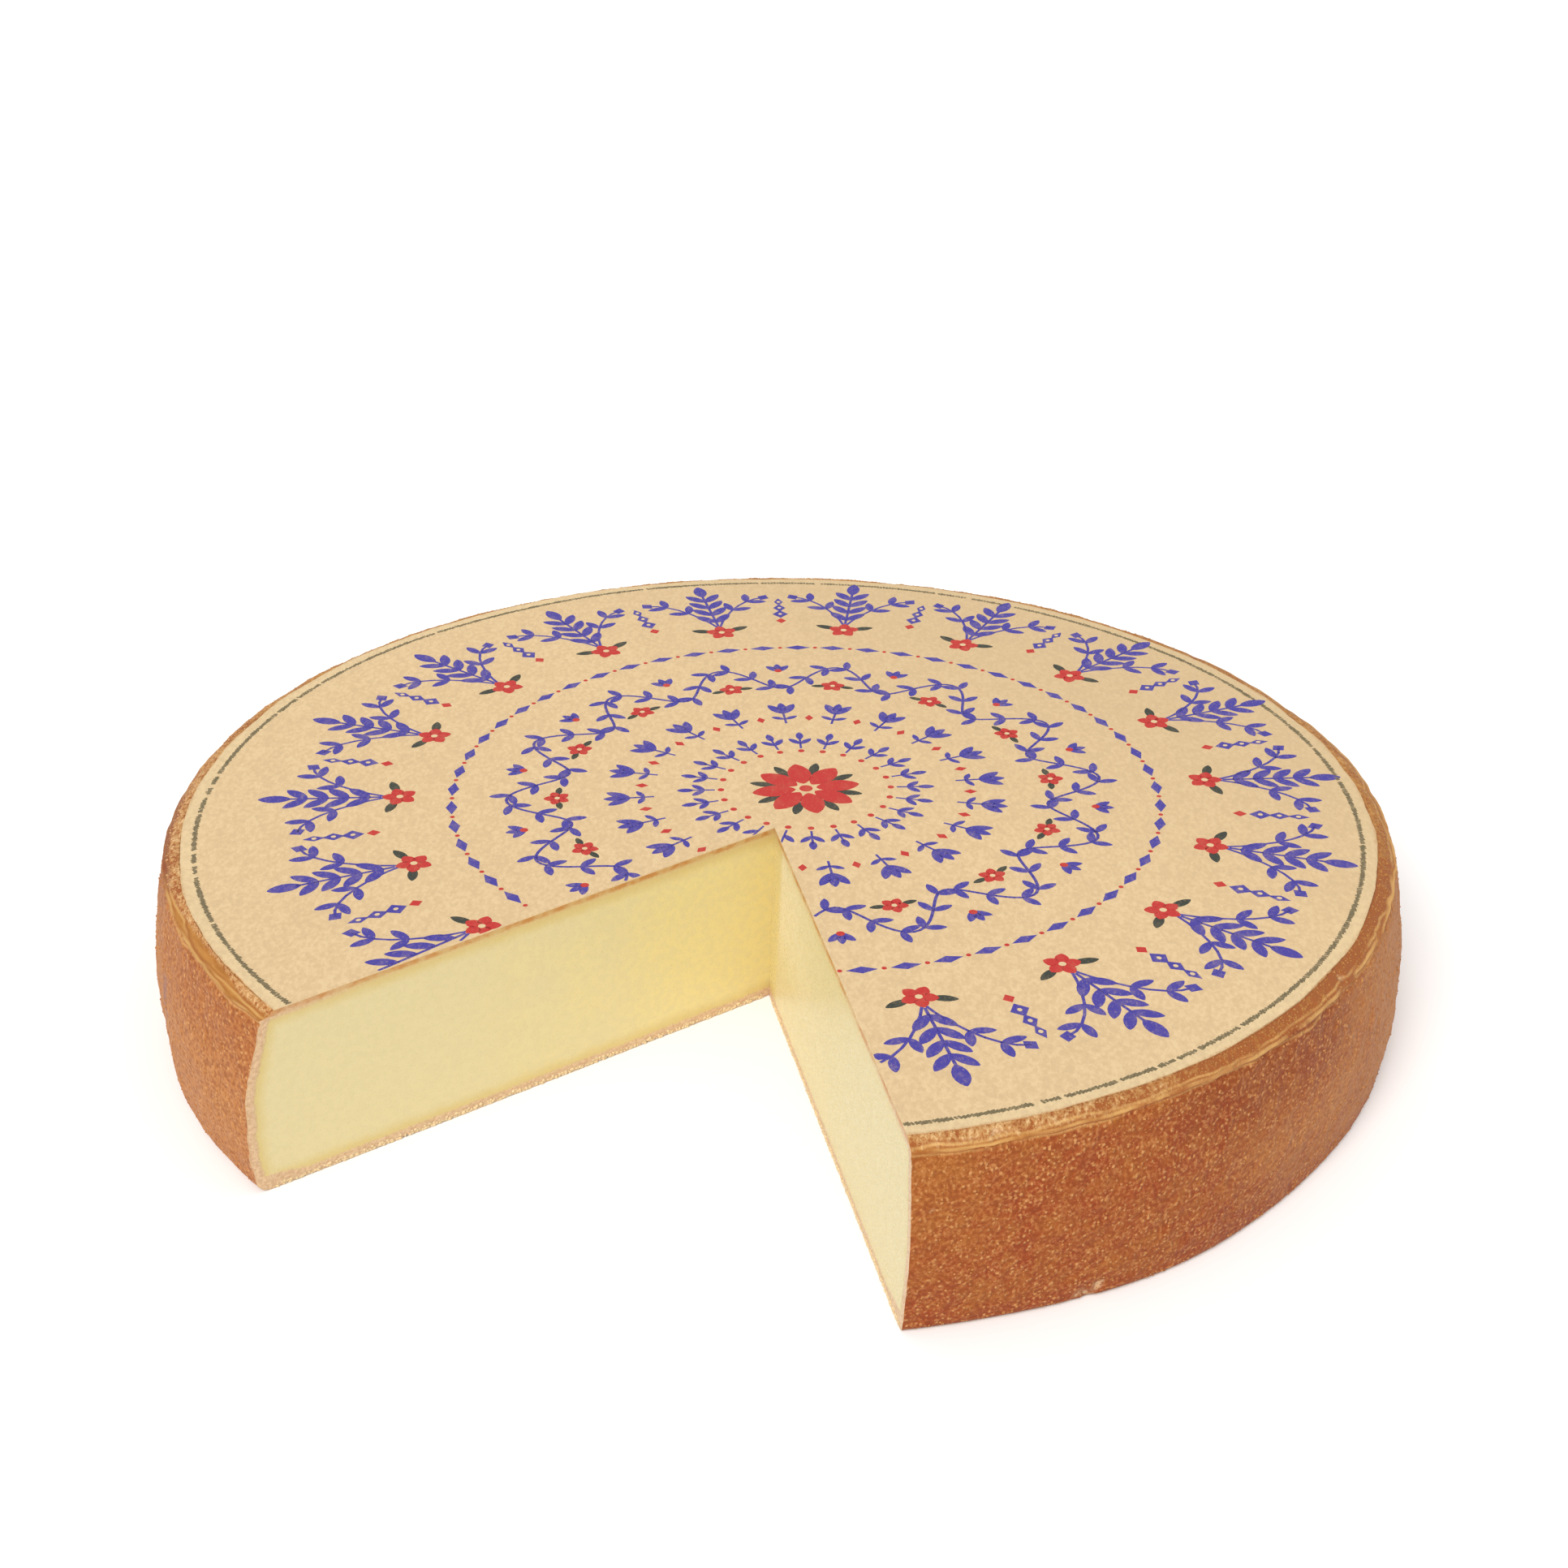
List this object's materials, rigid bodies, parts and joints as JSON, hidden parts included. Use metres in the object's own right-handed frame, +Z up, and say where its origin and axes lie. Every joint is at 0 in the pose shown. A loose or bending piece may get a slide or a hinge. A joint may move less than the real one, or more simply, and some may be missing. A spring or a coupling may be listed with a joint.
{
  "type": "cheese wheel",
  "caption": "Low round wheel of hard alpine cheese with a wedge cut out, a browned rind and a round printed paper label on top.",
  "frame": {"origin": "centre of the wheel's base, on the axis it was turned about", "axes": "+Z up through the wheel's flat faces; the notch opens between -X and -Y"},
  "size_m": [0.6403, 0.6328, 0.095],
  "materials": {
    "cheese": "granular smear-ripened rind, orange brown with pale specks, over smooth pale yellow paste",
    "label_paper": null
  },
  "bodies": {
    "root": {"cheese_wheel": "cheese", "paper_label": "label_paper"}
  },
  "joints": []
}
